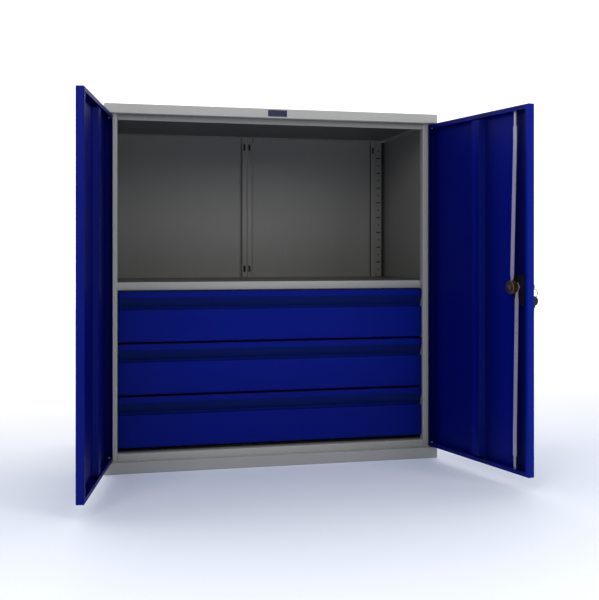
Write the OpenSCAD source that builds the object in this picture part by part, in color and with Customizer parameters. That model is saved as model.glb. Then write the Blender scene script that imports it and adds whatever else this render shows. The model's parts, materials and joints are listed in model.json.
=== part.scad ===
// Tool cabinet with two doors, three drawers and an upper compartment.
// The origin lies on the ground, midway across the plinth's front foot flange and in
// the plane of the door pivots. X is the width, +Y points to the rear and Z is up.
// Inside the modules depth is counted from the front face of the cap, and
// from_front() moves the piece into place.
// The doors stand open and the drawers are shut.

/* [Cabinet] */
// Overall width of the carcass
cab_w = 950; // [800:10:1100]
// Overall depth of the carcass
cab_d = 500; // [460:10:600]
// Overall height of the cabinet
cab_h = 1000; // [960:10:1200]
// Thickness of the body sheet
sheet_t = 1.2; // [1:0.1:1.4]
// Inner radius of the sheet bends
bend_r = 1.2; // [0.8:0.1:1.6]

/* [Cap and plinth] */
// Height of the folded cap
cap_h = 26; // [24:1:36]
// Height of the rail that hangs below the cap behind the doors
rail_h = 16; // [12:1:20]
// Width of the label plate on the cap
label_w = 54; // [44:1:60]
// Height of the label plate on the cap
label_h = 18; // [14:1:20]
// Width of the cap's side and rear returns
cap_return = 20; // [18:1:24]
// Height of the plinth
plinth_h = 31; // [28:1:40]
// Width of the plinth's top flange
plinth_flange = 40; // [36:1:46]
// Width of the plinth's foot flange
plinth_foot = 20; // [15:1:25]

/* [Posts and walls] */
// Depth of the recess that the doors close into
recess_d = 22; // [22:0.5:25]
// Width of the folded posts
post_w = 36; // [34:1:40]
// Depth of the front posts
post_d = 25; // [23:1:28]
// Depth of the rear posts
rear_post_d = 14; // [12:1:16]
// Width of the slotted return inside each post
post_return = 22; // [20:1:24]
// Pitch of the slots in the post returns
slot_pitch = 50; // [45:5:60]
// Length of a post slot
slot_l = 14; // [12:1:15]
// Height of a post slot
slot_h = 4; // [3:0.5:5]
// Border width of the rear wall panels
back_border = 15; // [13:1:17]
// Gap between the two rear wall panels
back_gap = 1.4; // [1:0.1:2]
// Width of the hook slots in the rear wall panels
hook_w = 7; // [6:0.5:8]
// Height of the hook slots in the rear wall panels
hook_h = 20; // [16:1:24]

/* [Floor and shelf] */
// Height of the floor panel above the plinth
floor_rise = 19; // [16:1:22]
// Height of the shelf top above the ground
shelf_top = 516.6; // [505:0.2:530]
// Height of the shelf's front lip
shelf_lip = 23.6; // [20:0.1:26]
// Width of the shelf's return below its front lip
shelf_return = 15; // [10:1:20]
// Width of the shelf clips
clip_w = 18; // [14:1:20]
// Depth of the shelf clips' seats
clip_seat = 15; // [12:1:18]
// Height of the shelf clips' legs
clip_leg = 25; // [20:1:30]

/* [Doors] */
// Thickness of the doors
door_t = 20; // [18:0.5:20.5]
// Gap above and below the doors
door_gap = 3; // [2.5:0.1:4]
// Gap between the two doors
meeting_gap = 6; // [4:0.5:8]
// Distance of the pivot from the carcass side
pivot_inset = 13; // [12.5:0.5:14]
// Length of the door beyond its pivot
door_stub = 5.5; // [5:0.1:5.5]
// Width of the lips inside the door edges
door_lip = 12; // [10:0.5:14]
// Opening angle at which the left door stands
left_door_angle = 100.2; // [90:0.1:110]
// Opening angle at which the right door stands
right_door_angle = 101.8; // [90:0.1:110]
// Diameter of the hinge pins
pin_d = 6; // [5:0.1:6]
// Running clearance between a pin and its bush, on the radius
pin_clear = 0.05; // [0.03:0.01:0.08]
// Wall of the hinge bushes
bush_wall = 1.1; // [0.9:0.1:1.2]
// Distance of the left door's stiffener from its pivot
left_rib_u = 206; // [180:1:240]
// Distance of the right door's stiffener from its pivot
right_rib_u = 228; // [190:1:240]
// Overall width of a door stiffener
rib_w = 71; // [60:1:80]
// Height of a door stiffener
rib_h = 15; // [12:0.5:16]
// Width of the stiffeners' welded flanges
rib_flange = 12; // [10:0.5:14]
// Width of the stiffeners' slopes
rib_slope = 7; // [5:0.5:9]

/* [Lock] */
// Distance of the lock from the free edge of its door
lock_edge = 68; // [62:1:74]
// Height of the lock above the ground
lock_z = 509; // [507:0.5:512]
// Radius of the lock's cam drum
drum_r = 17.2; // [16:0.1:17.2]
// Throw of the locking rods
rod_throw = 10.5; // [9:0.5:11]
// Width of the locking rods
rod_w = 13; // [11:0.5:14]
// Thickness of the locking rods
rod_t = 2.5; // [2:0.1:2.5]
// Width of the rods' tips
rod_tip_w = 8; // [7:0.5:9]
// Length of the upper rod's straight end
upper_end_l = 90.6; // [80:0.2:100]
// Length of the lower rod's straight end
lower_end_l = 95.6; // [80:0.2:100]
// Length of the upper rod's narrow tip
upper_tip_l = 50.6; // [40:0.2:60]
// Length of the lower rod's narrow tip
lower_tip_l = 43.6; // [35:0.2:60]

/* [Drawers] */
// Height of a drawer front
front_h = 140; // [136:1:141]
// Pitch of the drawers
drawer_pitch = 144; // [142:1:146]
// Thickness of the drawer sheet
drawer_t = 1; // [0.8:0.1:1.2]
// Height of the drawer walls
drawer_wall = 100; // [80:1:104]
// Length of the telescopic slides
slide_l = 400; // [360:10:400]
// Height of the telescopic slides
slide_h = 45; // [42:1:46]
// Thickness of a telescopic slide
slide_w = 12.7; // [12.5:0.1:13]
// Height of the channels that carry the slides
channel_h = 50; // [48:1:54]
// Height of the finger lip on a drawer front
pull_lip = 17; // [15:1:20]
// Depth of the finger pull behind the lip
pull_depth = 14; // [12:0.5:15]
// Width of the rolled rims on the drawer walls
tray_rim = 7; // [5:0.5:7.5]

/* [Hidden] */
$fn = 48;
fit = 0.3;
seat_gap = 0.5;
cut = 1;
bend_steps = 3;
half_w = cab_w / 2;
grey = "#b9bcc4";
dark_grey = "#7d8086";
blue = "#1b2f8f";
zinc = "#b4b8c6";

// Heights in the carcass
cap_z = cab_h - cap_h;
ceiling_z = cap_z + sheet_t;
floor_z = plinth_h + floor_rise;
wall_h = cap_z - plinth_h;
// Inner face of the posts, counted from the middle
post_x = half_w - post_w;
post_rear = recess_d + post_d;
rear_post = cab_d - rear_post_d;
// Room that the floor and shelf leave to the side sheets and rear posts
inner_x = half_w - sheet_t - fit;
inner_rear = rear_post - seat_gap;
shelf_bottom = shelf_top - shelf_lip;
// The ceiling keeps off the bends inside the cap
ceiling_x = half_w - sheet_t - bend_r - fit;
ceiling_rear = cab_d - sheet_t - bend_r - fit;
rail_setback = 3;
// Post slots and the tabs that close a wall at its ends
slot_start = 0.7 * slot_pitch;
slot_shift = 0.5;
tab_setback = 6;
// Hook slots in the rear wall panels
hook_drop = 32;
hook_rise = 28;
label_t = 0.8;
label_r = 1.5;

// Doors, with u counted from the pivot along the door
pivot_x = half_w - pivot_inset;
pivot_d = door_t / 2;
door_bottom = plinth_h + door_gap;
door_top = cap_z - door_gap;
door_free = pivot_x - meeting_gap / 2;
bush_r = pin_d / 2 + pin_clear + bush_wall;
bush_l = 9;
bush_rim = 0.9;
pin_l = 16;
pin_head_r = pin_d / 2 + 2;
pin_head_h = 2.5;
rib_end_gap = 2;

// Lock, with distances from the door's outer face
lock_u = door_free - lock_edge;
core_r = 6;
core_front = 3.4;
housing_r = 9;
rosette_r = 14;
rosette_h = 3;
rosette_slope = 2;
nut_width = 27;
drum_front = door_t - 8.2;
drum_rear = recess_d + 4.3;
cam_pin_r = 2;
cam_screw_r = 2.5;
cam_pin_head = 1.2;
cam_chamfer = 1.5;
cam_head_width = 9.2;
cam_head_h = 3;
square_a = 6;
square_l = 6;
lock_plate_t = 1.5;
// Reach of the lock plate to each side of the lock
plate_inner = 15;
plate_outer = 29;
plate_up = 31;
plate_down = 47;
plate_r = 3;
rod_d = drum_front - fit - rod_t;
rod_eye_r = 5.4;
rod_neck = 4.6;
spindle_r = 4.4;
housing_end = rod_d - 2;
// Sideways play of the rods' tips while the cam swings their eyes round
tip_play = 0.22 * rod_throw;
upper_tip_u = lock_u + 3;
lower_tip_u = lock_u + 2;
// Distances from a rod's eye at which it starts and stops widening
neck_l = 22;
shoulder_l = 32;
tip_set = 0.4;
rod_hole_d = 4;
rod_hole_near = 88;
rod_hole_mid = 102;
rod_hole_far = 119;

// Key, with distances in front of the door's outer face
bow_r = 12;
bow_out = 43;
bow_hole_out = 49.5;
bow_hole_r = 3.4;
bow_hole_drop = 3.2;
ring_r = 11.5;
wire_r = 0.9;
ring_turn = 30;
ring_top_z = lock_z - bow_hole_drop - bow_hole_r + wire_r + fit;
key_t = 2;
key_blade = 7.6;
key_play = 0.1;
key_way = 4;
spare_bow_t = 3;
spare_bow_r = 13.2;
spare_bow_wide = 2.3;
spare_bow_drop = 5.5;
spare_hole_r = 3.5;
spare_hole_z = ring_top_z - 2 * ring_r + wire_r + fit - spare_hole_r;
spare_neck_w = 11;
spare_neck_l = 4;
spare_blade_l = 34;
spare_point = 3;
spare_root = -spare_bow_drop - 4;

// Drawers, counted from the top
top_drawer_z = shelf_bottom - 1;
front_x = post_x - 2.5;
tray_x = post_x - slide_w;
lip_d = recess_d + 5;
face_d = lip_d + 2.5;
cheek = 1.2;
// Finger pull in a drawer front, as heights below its top edge and bend radii
pull_slope = 28;
pull_end = 66;
pull_top = 51;
pull_nose = 9.8;
roll_r = 2;
nose_r = 0.6;
brow_r = 2.4;
// Hem at the lower edge of a drawer front
hem_h = 9;
hem_in = 1.5;
hem_r = 12;
tray_setback = 19.5;
tray_front = face_d + tray_setback;
tray_rear = tray_front + slide_l + 1;
tray_lift = 8;
// Slide members, as distances from the post
slide_front = tray_front + 1;
member_t = 1.2;
member_r = 0.8;
outer_edge = 11;
middle_web = 4.4;
middle_edge = 11.6;
inner_edge = 6.6;
middle_set = 2;
flange_step = 4.9;
middle_h = slide_h - 2 * flange_step;
inner_h = middle_h - 2 * flange_step;
channel_t = 1.5;
channel_out = post_x + post_return - 2;
// Ball cages, with the middles of their strips as distances from the post
outer_cage_x = 7;
outer_cage_w = 5;
inner_cage_x = 9.3;
inner_cage_w = 3.6;
cage_end = 15;
outer_cage_gap = 5;
inner_cage_gap = 10;

// Plane vector helpers
function heading(a, b) = (b - a) / norm(b - a);
function left_of(v) = [-v[1], v[0]];
function turned(v, angle) = [
    v[0] * cos(angle) - v[1] * sin(angle),
    v[0] * sin(angle) + v[1] * cos(angle)
];
function reversed(list) = [for (i = [len(list) - 1 : -1 : 0]) list[i]];
function joined(lists) = [for (part = lists) for (item = part) item];

// A path moved to its left by s
function shifted(path, s) = [
    for (i = [0 : len(path) - 1])
    let (
        last = len(path) - 1,
        before = left_of(heading(path[max(i - 1, 0)], path[max(i, 1)])),
        after = left_of(heading(path[min(i, last - 1)], path[min(i + 1, last)]))
    )
    path[i] + s * (before + after) / (1 + before * after)
];

// The arc that replaces corner i of a path, for a turn to the left or right
function bend(path, i, r_left, r_right) =
    let (
        a = heading(path[i - 1], path[i]),
        b = heading(path[i], path[i + 1]),
        side = a[0] * b[1] - a[1] * b[0] > 0 ? 1 : -1,
        angle = acos(a * b),
        r = side > 0 ? r_left : r_right,
        start = path[i] - a * r * tan(angle / 2),
        centre = start + side * r * left_of(a)
    )
    [for (k = [0 : bend_steps]) centre + turned(start - centre, side * angle * k / bend_steps)];

function rounded(path, radii, more_left, more_right) = joined([
    [path[0]],
    for (i = [1 : len(path) - 2]) bend(path, i, radii[i - 1] + more_left, radii[i - 1] + more_right),
    [path[len(path) - 1]]
]);

function same_radii(path, r) = [for (i = [1 : len(path) - 2]) r];

// Section of a sheet folded along a path, with its thickness to the left
function sheet_section(path, t, radii) = concat(
    rounded(path, radii, t, 0),
    reversed(rounded(shifted(path, t), radii, 0, t))
);

function round_rect(x0, y0, x1, y1, r) = [
    for (corner = [[x1 - r, y0 + r, -90], [x1 - r, y1 - r, 0], [x0 + r, y1 - r, 90], [x0 + r, y0 + r, 180]])
    for (k = [0 : bend_steps])
    let (angle = corner[2] + 90 * k / bend_steps)
    [corner[0] + r * cos(angle), corner[1] + r * sin(angle)]
];

module folded(path, t = sheet_t, r = bend_r) {
    polygon(sheet_section(path, t, same_radii(path, r)));
}

module from_front() {
    translate([0, -pivot_d, 0]) children();
}

// Extrusions whose flat child is drawn in depth and height, or width and height
module along_x(from, to) {
    translate([from, 0, 0]) rotate([90, 0, 90]) linear_extrude(to - from) children();
}

module along_y(from, to) {
    translate([0, to, 0]) rotate([90, 0, 0]) linear_extrude(to - from) children();
}

module along_z(from, to) {
    translate([0, 0, from]) linear_extrude(to - from) children();
}

module box(from, to) {
    translate(from) cube(to - from);
}

module both_sides() {
    children();
    mirror([1, 0, 0]) children();
}

module on_side(side) {
    mirror([side < 0 ? 1 : 0, 0, 0]) children();
}

// A block with its long edges rounded as a folded sheet leaves them
module soft_block(w, h, depth, r) {
    intersection() {
        along_x(0, w) polygon(round_rect(0, 0, h, depth, r));
        along_y(0, h) polygon(round_rect(0, 0, w, depth, r));
    }
}

// A folded pan with its skin at height 0 and lips round its mouth,
// given as [left, right, near, far]
module pan(w, h, depth, lips) {
    t = sheet_t;
    difference() {
        soft_block(w, h, depth, bend_r + t);
        translate([t, t, t]) soft_block(w - 2 * t, h - 2 * t, depth - 2 * t, bend_r);
        box([lips[0], lips[2], depth - 2 * t], [w - lips[1], h - lips[3], depth + 1]);
    }
}

// Moves a child drawn in u, height and distance from the outer face onto a door
module on_door(side) {
    angle = side > 0 ? right_door_angle : left_door_angle;
    from_front() on_side(side) translate([pivot_x, pivot_d, 0]) rotate([0, 0, angle])
        translate([0, -pivot_d, 0]) rotate([90, 0, 180]) children();
}

function rod_tip_x(tip_u) = pivot_x - tip_u;

// Carcass

module rod_passage(tip_u, z) {
    w = rod_tip_w + 2 * tip_play + 2 * cut;
    translate([rod_tip_x(tip_u) - w / 2, rod_d - cut, z - sheet_t]) cube([w, rod_t + 2 * cut, 3 * sheet_t]);
}

module pin_holes(z) {
    both_sides() translate([pivot_x, pivot_d, z - sheet_t]) cylinder(r = pin_d / 2, h = 3 * sheet_t);
}

module top_panel() {
    color(grey) from_front() difference() {
        union() {
            translate([-half_w, cab_d, cab_h]) rotate([180, 0, 0])
                pan(cab_w, cab_d, cap_h, [cap_return, cap_return, cap_return, recess_d + sheet_t]);
            box([-post_x + seat_gap, recess_d, cap_z - rail_h],
                [post_x - seat_gap, recess_d + sheet_t, ceiling_z]);
        }
        pin_holes(cap_z);
        rod_passage(upper_tip_u, cap_z);
    }
}

module ceiling_panel() {
    front = recess_d + 2 * sheet_t;
    x = post_x - 2 * seat_gap;
    color(dark_grey) from_front() {
        along_x(-x, x)
            folded([[front, cap_z - rail_h + rail_setback], [front, ceiling_z], [ceiling_rear, ceiling_z]]);
        both_sides() box([x, front + bend_r, ceiling_z], [ceiling_x, ceiling_rear, ceiling_z + sheet_t]);
    }
}

module plinth_frame() {
    color(grey) from_front() difference() {
        translate([-half_w, cab_d, plinth_h]) rotate([180, 0, 0])
            pan(cab_w, cab_d, plinth_h, [plinth_foot, plinth_foot, plinth_foot, plinth_foot]);
        box([-half_w + plinth_flange, plinth_flange, plinth_h - 2 * sheet_t],
            [half_w - plinth_flange, cab_d - plinth_flange, plinth_h + cut]);
        pin_holes(plinth_h - sheet_t);
        rod_passage(lower_tip_u, plinth_h - sheet_t);
    }
}

module floor_panel() {
    color(grey) from_front() {
        along_x(-post_x + seat_gap, post_x - seat_gap)
            folded([[inner_rear, plinth_h], [inner_rear, floor_z],
                [recess_d, floor_z], [recess_d, plinth_h]]);
        both_sides() along_y(post_rear + seat_gap, inner_rear)
            folded([[inner_x, plinth_h + sheet_t], [inner_x, floor_z], [post_x - 2 * seat_gap, floor_z]]);
    }
}

module side_panel() {
    path = [[post_x + post_return, post_rear], [post_x, post_rear], [post_x, recess_d],
        [half_w, recess_d], [half_w, cab_d], [post_x, cab_d], [post_x, rear_post],
        [post_x + post_return, rear_post]];
    slot_x = post_x + post_return / 2 + slot_shift;
    slot_rows = floor((wall_h - slot_pitch) / slot_pitch);
    from_front() difference() {
        union() {
            along_z(plinth_h, cap_z) folded(path);
            for (z = [plinth_h, cap_z - sheet_t])
                box([half_w - sheet_t - post_w / 2, post_rear + tab_setback, z],
                    [half_w - sheet_t / 2, rear_post - tab_setback, z + sheet_t]);
        }
        for (row = [0 : slot_rows]) {
            z = plinth_h + slot_start + slot_pitch * row;
            for (d = [post_rear - sheet_t - cut, rear_post - cut]) {
                translate([slot_x - slot_l / 2, d, z - slot_h / 2]) cube([slot_l, sheet_t + 2 * cut, slot_h]);
                translate([slot_x, d, z + slot_pitch / 2]) rotate([-90, 0, 0])
                    cylinder(d = slot_h + 1, h = sheet_t + 2 * cut, $fn = 24);
            }
        }
    }
}

module left_side_panel() {
    color(grey) on_side(-1) side_panel();
}

module right_side_panel() {
    color(grey) on_side(1) side_panel();
}

module hook_slot(x, z) {
    translate([x - hook_w / 2, rear_post - cut, z - hook_h / 2]) cube([hook_w, sheet_t + 2 * cut, hook_h]);
}

module back_panel() {
    w = post_x - back_gap / 2;
    b = back_border;
    from_front() difference() {
        translate([back_gap / 2, cab_d, plinth_h]) rotate([90, 0, 0])
            pan(w, wall_h, rear_post_d, [b, b, b, b]);
        for (x = [(back_gap + b) / 2, post_x - b / 2]) hook_slot(x, cap_z - hook_drop);
        hook_slot((back_gap + b) / 2, shelf_top + hook_rise);
    }
}

module left_back_panel() {
    color(dark_grey) on_side(-1) back_panel();
}

module right_back_panel() {
    color(dark_grey) on_side(1) back_panel();
}

module mid_shelf() {
    front = post_rear + seat_gap;
    color(grey) from_front() along_x(-inner_x, inner_x)
        folded([[inner_rear, shelf_bottom], [inner_rear, shelf_top], [front, shelf_top],
            [front, shelf_bottom], [front + shelf_return, shelf_bottom]]);
}

// Angle clips on the post returns, two in front and two behind
module shelf_clips() {
    x0 = post_x + (post_return - clip_w) / 2;
    color(zinc) from_front() both_sides() {
        along_x(x0, x0 + clip_w) folded([[post_rear + clip_seat, shelf_bottom],
            [post_rear, shelf_bottom], [post_rear, shelf_bottom - clip_leg]]);
        along_x(x0, x0 + clip_w) folded([[rear_post, shelf_bottom - clip_leg],
            [rear_post, shelf_bottom], [rear_post - clip_seat, shelf_bottom]]);
    }
}

module hinge_pin() {
    cylinder(r = pin_d / 2, h = pin_l);
    translate([0, 0, -pin_head_h]) cylinder(r = pin_head_r, h = pin_head_h);
}

module hinge_pins() {
    color(zinc) from_front() both_sides() {
        translate([pivot_x, pivot_d, plinth_h - sheet_t]) hinge_pin();
        translate([pivot_x, pivot_d, ceiling_z]) mirror([0, 0, 1]) hinge_pin();
    }
}

module label_plate() {
    z = cab_h - cap_h / 2;
    color("#20264f") from_front() along_y(-label_t, 0)
        polygon(round_rect(-label_w / 2, z - label_h / 2, label_w / 2, z + label_h / 2, label_r));
}

// Drawers and slides

function front_bottom(n) = top_drawer_z - (n - 1) * drawer_pitch - front_h;
function slide_z(n) = front_bottom(n) + tray_lift + drawer_wall / 2;

module slide_channels(n) {
    z0 = slide_z(n) - channel_h / 2;
    z1 = slide_z(n) + channel_h / 2;
    path = [[channel_out, z1], [post_x, z1], [post_x, z0], [channel_out, z0]];
    color(zinc) from_front() both_sides() {
        along_y(post_rear, rear_post) folded(path, channel_t);
        for (d = [post_rear, rear_post - channel_t])
            box([post_x + channel_t / 2, d, z0 + channel_t / 2],
                [channel_out, d + channel_t, z1 - channel_t / 2]);
    }
}

// A slide member with its web at web_x and its flanges reaching to edge_x
module slide_member(n, web_x, edge_x, h, from, to) {
    z = slide_z(n);
    ends = [[edge_x, z - h / 2], [web_x, z - h / 2], [web_x, z + h / 2], [edge_x, z + h / 2]];
    along_y(from, to) folded(web_x > edge_x ? ends : reversed(ends), member_t, member_r);
}

module outer_slides(n) {
    color(zinc) from_front() both_sides()
        slide_member(n, post_x, post_x - outer_edge, slide_h, slide_front, slide_front + slide_l);
}

module middle_slides(n) {
    color(zinc) from_front() both_sides() slide_member(n, post_x - middle_web, post_x - middle_edge, middle_h,
        slide_front + middle_set, slide_front + slide_l);
}

module inner_slides(n) {
    color(zinc) from_front() both_sides()
        slide_member(n, tray_x, post_x - inner_edge, inner_h, slide_front, tray_rear);
}

// Caged balls that ride with the middle member, between its flanges and those beside it
module ball_cages(n) {
    z = slide_z(n);
    run = slide_l / 2 - cage_end;
    h = flange_step - member_t - fit;
    outer_y = slide_front + slide_l - outer_cage_gap - run / 2;
    inner_y = slide_front + inner_cage_gap + run / 2;
    color(dark_grey) from_front() both_sides() for (up = [-1, 1]) {
        outer_z = z + up * (middle_h + h) / 2;
        inner_z = z + up * ((middle_h - h) / 2 - member_t);
        translate([post_x - outer_cage_x, outer_y, outer_z]) cube([outer_cage_w, run, h], center = true);
        translate([post_x - inner_cage_x, inner_y, inner_z]) cube([inner_cage_w, run, h], center = true);
    }
}

// Front surface of a drawer front in depth and height above its lower edge
function front_path() = [
    [tray_front, front_h],
    [lip_d, front_h],
    [lip_d, front_h - pull_lip],
    [lip_d + pull_depth, front_h - pull_lip - pull_slope],
    [lip_d + pull_depth, front_h - pull_end],
    [lip_d + pull_nose, front_h - pull_end],
    [lip_d + pull_nose, front_h - pull_top],
    [face_d, front_h - pull_top],
    [face_d, hem_h],
    [face_d + hem_in, 0],
    [tray_front, 0]
];
function front_radii() = [bend_r, roll_r, roll_r, nose_r, nose_r, brow_r, brow_r, hem_r, 1, bend_r];

module drawer_front(n) {
    color(blue) from_front() translate([0, 0, front_bottom(n)]) {
        along_x(-front_x, front_x) polygon(sheet_section(front_path(), sheet_t, front_radii()));
        both_sides() along_x(front_x - cheek, front_x)
            polygon(rounded(front_path(), front_radii(), sheet_t, 0));
    }
}

module drawer_tray(n) {
    base = front_bottom(n) + tray_lift;
    top = base + drawer_wall;
    front_top = front_bottom(n) + front_h - sheet_t;
    x = tray_x;
    color(grey) from_front() {
        along_y(tray_front, tray_rear)
            folded([[tray_rim - x, top], [-x, top], [-x, base],
                [x, base], [x, top], [x - tray_rim, top]], drawer_t);
        box([-x, tray_front, base + drawer_t / 2], [x, tray_front + drawer_t, front_top]);
        box([-x + drawer_t / 2, tray_rear - drawer_t, base + drawer_t / 2],
            [x - drawer_t / 2, tray_rear, top]);
    }
}

// Doors

module door_panel(side) {
    length = door_free + door_stub;
    height = door_top - door_bottom;
    color(blue) on_door(side) difference() {
        translate([-door_stub, door_bottom, 0])
            pan(length, height, door_t, [door_lip, door_lip, door_lip, door_lip]);
        for (z = [door_bottom - cut, door_top - sheet_t - cut])
            translate([0, z, pivot_d]) rotate([-90, 0, 0]) cylinder(r = bush_r, h = sheet_t + 2 * cut);
        if (side > 0) {
            rod_slot(upper_tip_u, -1, door_top - sheet_t);
            rod_slot(lower_tip_u, 1, door_bottom);
            translate([lock_u, lock_z, -cut]) cylinder(r = housing_r, h = sheet_t + 2 * cut);
        }
    }
}

// Slot in a door's end wall that guides the tip of a rod, longer on the side it swings to
module rod_slot(tip_u, swing, z) {
    w = rod_tip_w + tip_play + 2 * fit;
    translate([tip_u + swing * tip_play / 2 - w / 2, z - cut, rod_d - fit])
        cube([w, sheet_t + 2 * cut, rod_t + 2 * fit]);
}

module left_door_panel() {
    door_panel(-1);
}

module right_door_panel() {
    door_panel(1);
}

// Hat section on the inner face of the door skin
module door_stiffener(side, centre) {
    half = rib_w / 2;
    foot = half - rib_flange;
    crest = foot - rib_slope;
    path = [[centre - half, sheet_t], [centre - foot, sheet_t], [centre - crest, rib_h],
        [centre + crest, rib_h], [centre + foot, sheet_t], [centre + half, sheet_t]];
    end_gap = door_lip + rib_end_gap;
    color(blue) on_door(side) translate([0, door_top - end_gap, 0]) rotate([90, 0, 0])
        linear_extrude(door_top - door_bottom - 2 * end_gap) folded(path);
}

module left_door_stiffener() {
    door_stiffener(-1, left_rib_u);
}

module right_door_stiffener() {
    door_stiffener(1, right_rib_u);
}

module door_bush() {
    difference() {
        union() {
            cylinder(r = bush_r, h = bush_l);
            translate([0, 0, -(door_gap - fit)]) cylinder(r = bush_r + bush_rim, h = door_gap - fit);
        }
        translate([0, 0, -door_gap]) cylinder(r = pin_d / 2 + pin_clear, h = door_gap + bush_l + cut);
    }
}

module door_bushes(side) {
    color("#303236") on_door(side) {
        translate([0, door_bottom, pivot_d]) rotate([-90, 0, 0]) door_bush();
        translate([0, door_top, pivot_d]) rotate([90, 0, 0]) door_bush();
    }
}

module left_door_bushes() {
    door_bushes(-1);
}

module right_door_bushes() {
    door_bushes(1);
}

// Lock on the right door

module at_lock() {
    on_door(1) translate([lock_u, lock_z, 0]) children();
}

module lock_plate() {
    color("#2b2a2c") at_lock() difference() {
        along_z(sheet_t, sheet_t + lock_plate_t)
            polygon(round_rect(-plate_inner, -plate_down, plate_outer, plate_up, plate_r));
        cylinder(r = housing_r, h = sheet_t + lock_plate_t + cut);
    }
}

module lock_housing() {
    color(zinc) at_lock() difference() {
        union() {
            cylinder(r = housing_r, h = housing_end);
            translate([0, 0, -rosette_h])
                cylinder(r1 = rosette_r - rosette_slope, r2 = rosette_r, h = rosette_h);
        }
        translate([0, 0, -rosette_h - cut])
            cylinder(r = core_r + pin_clear, h = rosette_h + housing_end + 2 * cut);
    }
}

module lock_nut() {
    seat = sheet_t + lock_plate_t;
    color(zinc) at_lock() translate([0, 0, seat]) difference() {
        cylinder(d = nut_width, h = housing_end - seat - seat_gap, $fn = 6);
        translate([0, 0, -cut]) cylinder(r = housing_r, h = housing_end);
    }
}

// The square on the core's spindle and the hole for it in the cam
module square_end() {
    a = square_a / 2;
    box([-a, -a, drum_front - cut], [a, a, drum_front + square_l]);
}

// Core with the keyway in front, a spindle past the rods and a square that drives the cam
module lock_core() {
    color("#a58a4b") at_lock() difference() {
        union() {
            translate([0, 0, -core_front]) cylinder(r = core_r, h = housing_end + core_front);
            cylinder(r = spindle_r, h = drum_front);
            square_end();
        }
        w = key_t / 2 + key_play;
        box([-w, -key_way, -core_front - cut], [w, key_way, housing_end]);
    }
}

// Cam drum with a headed pin for each rod
module lock_cam() {
    color("#8a7a5c") at_lock() {
        difference() {
            union() {
                translate([0, 0, drum_front]) cylinder(r = drum_r, h = drum_rear - drum_front - cam_chamfer);
                translate([0, 0, drum_rear - cam_chamfer])
                    cylinder(r1 = drum_r, r2 = drum_r - cam_chamfer, h = cam_chamfer);
            }
            square_end();
            translate([0, 0, drum_front]) cylinder(r = cam_screw_r, h = drum_rear - drum_front + cut);
        }
        for (side = [-1, 1]) translate([side * rod_throw, 0, 0]) {
            translate([0, 0, rod_d - fit]) cylinder(r = cam_pin_r, h = drum_front - rod_d + fit);
            translate([0, 0, rod_d - fit - cam_pin_head]) cylinder(r = cam_pin_r + 1, h = cam_pin_head);
        }
    }
}

module cam_screw() {
    color(zinc) at_lock() {
        translate([0, 0, drum_front + square_l])
            cylinder(r = cam_screw_r, h = drum_rear - drum_front - square_l);
        translate([0, 0, drum_rear]) cylinder(d = cam_head_width, h = cam_head_h, $fn = 6);
    }
}

// One long edge of a rod, from its eye to its tip
function rod_edge(edge, side, tip_shift, reach, bend_at, neck_at) =
    let (w = rod_w / 2, tip = rod_tip_w / 2, lean = tip_shift / bend_at)
    [
        [edge * rod_neck, 0],
        [lean * neck_l + edge * rod_neck, side * neck_l],
        [lean * shoulder_l + edge * w, side * shoulder_l],
        [tip_shift + edge * w, side * bend_at],
        [tip_shift + edge * w, side * neck_at],
        [tip_shift + edge * tip, side * (neck_at + w - tip)],
        [tip_shift + edge * tip, side * reach]
    ];

// A flat rod that runs up from its eye for side = 1 and down for side = -1
module locking_rod(side, tip_shift, reach, end_l, tip_l) {
    bend_at = reach - end_l;
    neck_at = reach - tip_l;
    translate([0, 0, rod_d]) linear_extrude(rod_t) difference() {
        union() {
            circle(r = rod_eye_r);
            polygon(concat(
                rod_edge(side, side, tip_shift, reach, bend_at, neck_at),
                reversed(rod_edge(-side, side, tip_shift, reach, bend_at, neck_at))
            ));
        }
        circle(r = cam_pin_r + pin_clear);
        if (side < 0) for (drop = [rod_hole_near, rod_hole_mid, rod_hole_far])
            translate([tip_shift * drop / bend_at, -drop]) circle(d = rod_hole_d, $fn = 24);
    }
}

module upper_rod() {
    u = lock_u - rod_throw;
    color(zinc) on_door(1) translate([u, lock_z, 0])
        locking_rod(1, upper_tip_u - u, door_top - tip_set - lock_z, upper_end_l, upper_tip_l);
}

module lower_rod() {
    u = lock_u + rod_throw;
    color(zinc) on_door(1) translate([u, lock_z, 0])
        locking_rod(-1, lower_tip_u - u, lock_z - door_bottom - tip_set, lower_end_l, lower_tip_l);
}

// Turns a child drawn in distance before the door and height into a plate across the door
module across_door(t) {
    rotate([0, 90, 0]) translate([0, 0, -t / 2]) linear_extrude(t) children();
}

module door_key() {
    color(zinc) at_lock() across_door(key_t) difference() {
        union() {
            translate([bow_out, 0]) circle(r = bow_r);
            translate([cut - housing_end, -key_blade / 2]) square([bow_out + housing_end - cut, key_blade]);
        }
        translate([bow_hole_out, -bow_hole_drop]) circle(r = bow_hole_r);
    }
}

module key_ring() {
    color(zinc) on_door(1) translate([lock_u, ring_top_z - ring_r, -bow_hole_out]) rotate([0, ring_turn, 0])
        rotate_extrude() translate([ring_r, 0]) circle(r = wire_r, $fn = 16);
}

// Places a flat child below the ring, with height 0 at the spare key's hole
module at_spare_key(t) {
    on_door(1) translate([lock_u, spare_hole_z, 0]) across_door(t) translate([bow_hole_out, 0]) children();
}

module spare_key() {
    w = key_blade / 2;
    end = spare_root - spare_blade_l;
    color(zinc) at_spare_key(key_t)
        polygon([[-w, spare_root], [-w, end], [0, end - spare_point], [w, end], [w, spare_root]]);
}

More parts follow.
